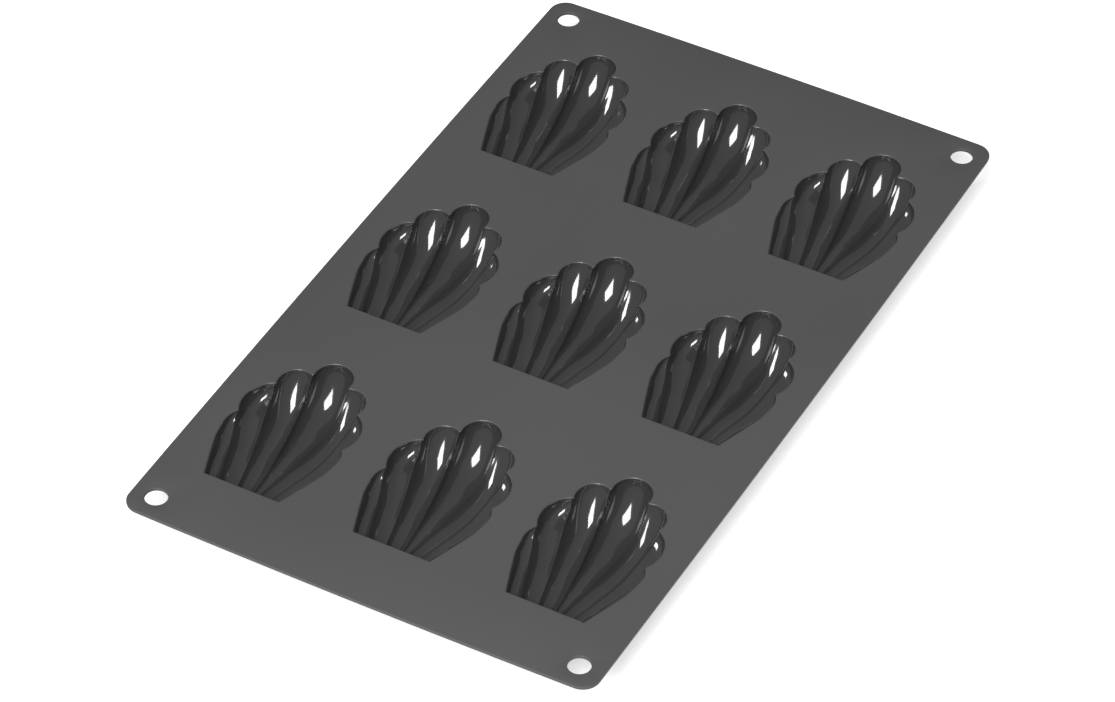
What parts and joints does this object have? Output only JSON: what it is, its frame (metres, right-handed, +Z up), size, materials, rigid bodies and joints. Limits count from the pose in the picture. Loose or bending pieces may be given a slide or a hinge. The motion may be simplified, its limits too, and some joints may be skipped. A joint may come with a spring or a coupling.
{
  "type": "madeleine mould",
  "caption": "Flexible silicone baking mould: a flat sheet with rounded corners and corner holes, and rows of fluted shell-shaped madeleine cups hanging below it.",
  "frame": {"origin": "middle of the mould's footprint, on the surface that the cups stand on", "axes": "+X across the sheet, along its short side; +Y along the sheet, from a cup's straight hinge edge to its round end; +Z up, out of the cups' mouths"},
  "size_m": [0.1766, 0.3016, 0.0172],
  "materials": {
    "silicone_sheet": "matte",
    "silicone_cup": "gloss inside, matte outside"
  },
  "bodies": {
    "root": {"sheet": "silicone_sheet", "cup_front_left": "silicone_cup", "cup_front_centre": "silicone_cup", "cup_front_right": "silicone_cup", "cup_middle_left": "silicone_cup", "cup_middle_centre": "silicone_cup", "cup_middle_right": "silicone_cup", "cup_rear_left": "silicone_cup", "cup_rear_centre": "silicone_cup", "cup_rear_right": "silicone_cup"}
  },
  "joints": []
}
